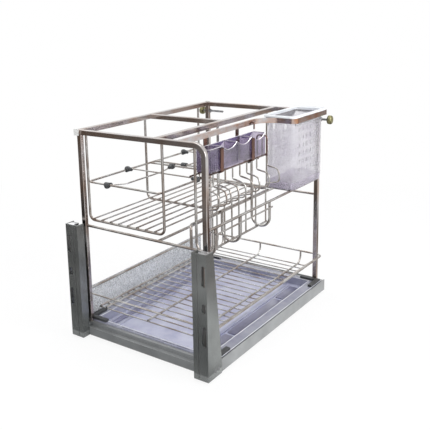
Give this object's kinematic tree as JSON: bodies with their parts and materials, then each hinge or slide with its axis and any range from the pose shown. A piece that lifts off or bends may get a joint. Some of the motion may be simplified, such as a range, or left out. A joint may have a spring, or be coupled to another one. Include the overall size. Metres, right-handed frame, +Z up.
{
  "type": "pull-out spice rack",
  "caption": "Pull-out cabinet rack on full-extension runners, with bottle basket, knife box, cutlery holder, board rack, lower wire basket and drip tray.",
  "frame": {"origin": "on the cabinet floor, midway between the two runners and midway between their front and rear floor screws, the centre of the mount cabinet_floor", "axes": "+X to the right as seen from the front, +Y from the front to the back of the cabinet, +Z up"},
  "size_m": [0.336, 0.4685, 0.414],
  "materials": {
    "bright_steel": "polished plate",
    "base_coat": "satin grey",
    "bracket_coat": "satin grey",
    "zinc_plated_steel": "zinc plated",
    "cage_steel": "rolled",
    "bearing_steel": "ground",
    "fastener_steel": "zinc plated",
    "brass": "satin",
    "dark_plastic": "moulded",
    "grey_plastic": "moulded",
    "clear_tray_plastic": "clear, bluish",
    "clear_panel_plastic": "clear, pebbled",
    "tinted_plastic": "clear, violet tint",
    "frosted_plastic": "frosted"
  },
  "bodies": {
    "cabinet": {"left_cabinet_runner": "zinc_plated_steel", "right_cabinet_runner": "zinc_plated_steel"},
    "middle_runners": {"left_middle_runner": "zinc_plated_steel", "right_middle_runner": "zinc_plated_steel"},
    "outer_cages": {"outer_ball_cages": "cage_steel", "outer_bearing_balls": "bearing_steel"},
    "inner_cages": {"inner_ball_cages": "cage_steel", "inner_bearing_balls": "bearing_steel"},
    "drawer": {"left_drawer_runner": "zinc_plated_steel", "right_drawer_runner": "zinc_plated_steel", "left_base_channel": "base_coat", "right_base_channel": "base_coat", "front_base_channel": "base_coat", "rear_base_channel": "base_coat", "drip_tray": "clear_tray_plastic", "tray_corner_clips": "dark_plastic", "left_door_bracket": "bracket_coat", "right_door_bracket": "bracket_coat", "bracket_screws": "fastener_steel", "left_front_post": "bright_steel", "left_rear_post": "bright_steel", "left_top_rail": "bright_steel", "middle_top_bar": "bright_steel", "inner_top_rail": "bright_steel", "front_bent_tube": "bright_steel", "rear_bent_tube": "bright_steel", "holder_strip": "bright_steel", "tube_end_caps": "grey_plastic", "post_foot_plugs": "fastener_steel", "post_foot_screws": "fastener_steel", "buffer_nuts": "fastener_steel", "left_side_panel": "clear_panel_plastic", "bottle_basket_hoops": "bright_steel", "bottle_basket_floor_wires": "bright_steel", "bottle_basket_gallery": "bright_steel", "lower_cross_wires": "bright_steel", "centre_depth_bar": "bright_steel", "knife_box_cradle": "bright_steel", "board_rack_frames": "bright_steel", "board_rack_rails": "bright_steel", "board_divider_wires": "bright_steel", "lower_basket_rim": "bright_steel", "lower_basket_depth_wires": "bright_steel", "lower_basket_floor_wires": "bright_steel", "lower_basket_right_wires": "bright_steel"},
    "front_cross_divider": {"front_cross_divider": "bright_steel", "front_cross_divider_clips": "dark_plastic"},
    "rear_cross_divider": {"rear_cross_divider": "bright_steel", "rear_cross_divider_clips": "dark_plastic"},
    "front_depth_divider": {"front_depth_divider": "bright_steel", "front_depth_divider_clips": "dark_plastic"},
    "rear_depth_divider": {"rear_depth_divider": "bright_steel", "rear_depth_divider_clips": "dark_plastic"},
    "knife_box": {"knife_box": "tinted_plastic"},
    "cutlery_holder": {"cutlery_holder": "frosted_plastic"},
    "left_buffer_rod": {"left_buffer_rod": "fastener_steel"},
    "left_buffer_knob": {"left_buffer_knob": "brass"},
    "right_buffer_rod": {"right_buffer_rod": "fastener_steel"},
    "right_buffer_knob": {"right_buffer_knob": "brass"}
  },
  "joints": [
    {"name": "drawer_slide", "type": "slide", "parent": "cabinet", "child": "drawer", "axis": [0, -1, 0], "range_m": [0, 0.43]},
    {"name": "middle_runner_slide", "type": "slide", "parent": "cabinet", "child": "middle_runners", "axis": [0, -1, 0], "range_m": [0, 0.215]},
    {"name": "outer_cage_slide", "type": "slide", "parent": "cabinet", "child": "outer_cages", "axis": [0, -1, 0], "range_m": [0, 0.1075]},
    {"name": "inner_cage_slide", "type": "slide", "parent": "cabinet", "child": "inner_cages", "axis": [0, -1, 0], "range_m": [0, 0.3225]},
    {"name": "front_cross_divider_slide", "type": "slide", "parent": "drawer", "child": "front_cross_divider", "axis": [0, 1, 0], "range_m": [-0.09, 0.05]},
    {"name": "rear_cross_divider_slide", "type": "slide", "parent": "drawer", "child": "rear_cross_divider", "axis": [0, 1, 0], "range_m": [-0.08, 0.045]},
    {"name": "front_depth_divider_slide", "type": "slide", "parent": "drawer", "child": "front_depth_divider", "axis": [1, 0, 0], "range_m": [-0.03, 0.088]},
    {"name": "rear_depth_divider_slide", "type": "slide", "parent": "drawer", "child": "rear_depth_divider", "axis": [1, 0, 0], "range_m": [-0.055, 0.078]},
    {"name": "knife_box_lift", "type": "slide", "parent": "drawer", "child": "knife_box", "axis": [0, 0, 1], "range_m": [0, 0.12]},
    {"name": "cutlery_holder_lift", "type": "slide", "parent": "drawer", "child": "cutlery_holder", "axis": [0, 0, 1], "range_m": [0, 0.16]},
    {"name": "left_buffer_rod_slide", "type": "slide", "parent": "drawer", "child": "left_buffer_rod", "axis": [-1, 0, 0], "range_m": [-0.0016, 0.0032]},
    {"name": "left_buffer_knob_turn", "type": "hinge", "parent": "left_buffer_rod", "child": "left_buffer_knob", "pos_m": [-0.156, 0.216, 0.389], "axis": [-1, 0, 0], "range_deg": [-725, 1445]},
    {"name": "right_buffer_rod_slide", "type": "slide", "parent": "drawer", "child": "right_buffer_rod", "axis": [1, 0, 0], "range_m": [-0.0016, 0.0032]},
    {"name": "right_buffer_knob_turn", "type": "hinge", "parent": "right_buffer_rod", "child": "right_buffer_knob", "pos_m": [0.169, 0.216, 0.389], "axis": [1, 0, 0], "range_deg": [-725, 1445]}
  ],
  "couplings": [
    {"joint": "middle_runner_slide", "follows": "drawer_slide", "ratio": 0.5},
    {"joint": "outer_cage_slide", "follows": "drawer_slide", "ratio": 0.25},
    {"joint": "inner_cage_slide", "follows": "drawer_slide", "ratio": 0.75},
    {"joint": "left_buffer_knob_turn", "follows": "left_buffer_rod_slide", "rad_per_m": 7854},
    {"joint": "right_buffer_knob_turn", "follows": "right_buffer_rod_slide", "rad_per_m": 7854}
  ]
}
